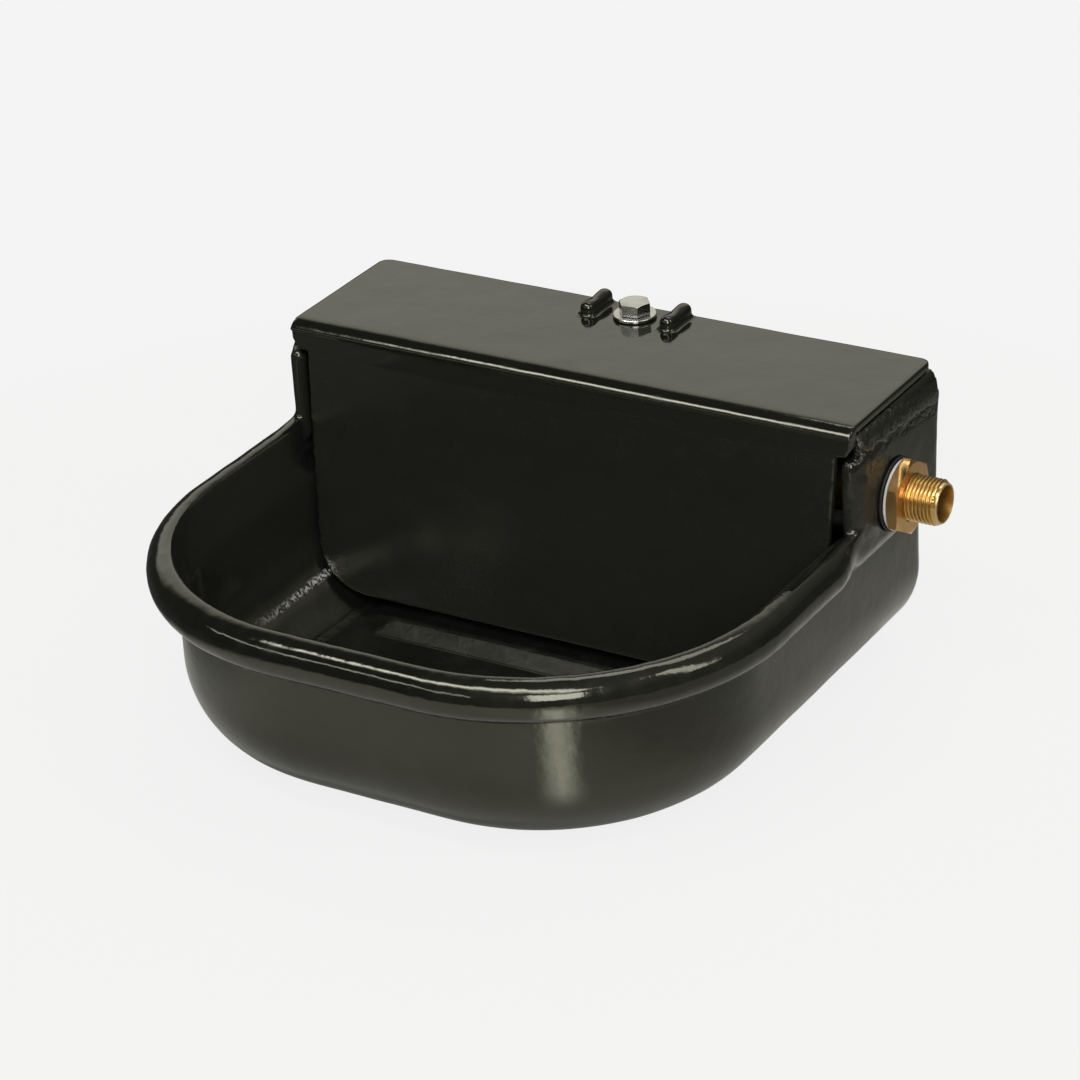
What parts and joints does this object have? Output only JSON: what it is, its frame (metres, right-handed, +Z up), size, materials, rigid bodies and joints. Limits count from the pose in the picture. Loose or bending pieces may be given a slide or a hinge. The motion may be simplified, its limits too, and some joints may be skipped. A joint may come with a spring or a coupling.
{
  "type": "float_drinking_bowl",
  "caption": "Black enamelled cast-iron livestock drinking bowl: covered float chamber across the back, brass float valve through the right wall, lift-off cast cover held by one bolt.",
  "frame": {"origin": "middle of the flat underside of the bowl, halfway between its back face and the front of its rim", "axes": "+X to the side of the water inlet, -Y towards the drinking animal, +Y towards the wall, +Z up"},
  "size_m": [0.3198, 0.272, 0.1465],
  "materials": {
    "enamel": "glossy black vitreous enamel over cast iron",
    "zinc_steel": "bright zinc-plated steel",
    "brass": "machined brass",
    "white_fibre": "matt pale fibre",
    "black_rubber": "matt black rubber",
    "float_plastic": "off-white closed-cell foam float"
  },
  "bodies": {
    "bowl": {"bowl_body": "enamel", "valve_body": "brass", "lock_nut": "brass", "fibre_washer": "white_fibre", "outer_gasket": "black_rubber", "inner_gasket": "black_rubber", "nozzle": "zinc_steel", "nozzle_ring": "black_rubber", "pivot_pin": "zinc_steel", "split_pin": "zinc_steel"},
    "float_arm": {"lever": "brass", "float_rod": "zinc_steel", "rod_lock_nut": "zinc_steel", "float": "float_plastic", "float_near_washer": "zinc_steel", "float_near_nut": "zinc_steel", "float_far_washer": "zinc_steel", "float_far_nut": "zinc_steel"},
    "valve_piston": {"piston": "brass", "piston_seal": "black_rubber"},
    "chamber_cover": {"cover": "enamel"},
    "bolt_and_washer": {"cover_bolt": "zinc_steel", "cover_washer": "zinc_steel"}
  },
  "joints": [
    {"name": "float_swing", "type": "hinge", "parent": "bowl", "child": "float_arm", "pos_m": [0.0977, 0.09, 0.08], "axis": [0, 1, 0], "range_deg": [0, 8.5]},
    {"name": "piston_slide", "type": "slide", "parent": "bowl", "child": "valve_piston", "axis": [1, 0, 0], "range_m": [0, 0.0022]},
    {"name": "cover_lift", "type": "slide", "parent": "bowl", "child": "chamber_cover", "axis": [0, 0, 1], "range_m": [0, 0.15]},
    {"name": "bolt_out", "type": "slide", "parent": "chamber_cover", "child": "bolt_and_washer", "axis": [0, 0, 1], "range_m": [0, 0.03]}
  ],
  "couplings": [
    {"joint": "piston_slide", "follows": "float_swing", "m_per_rad": 0.0145}
  ]
}
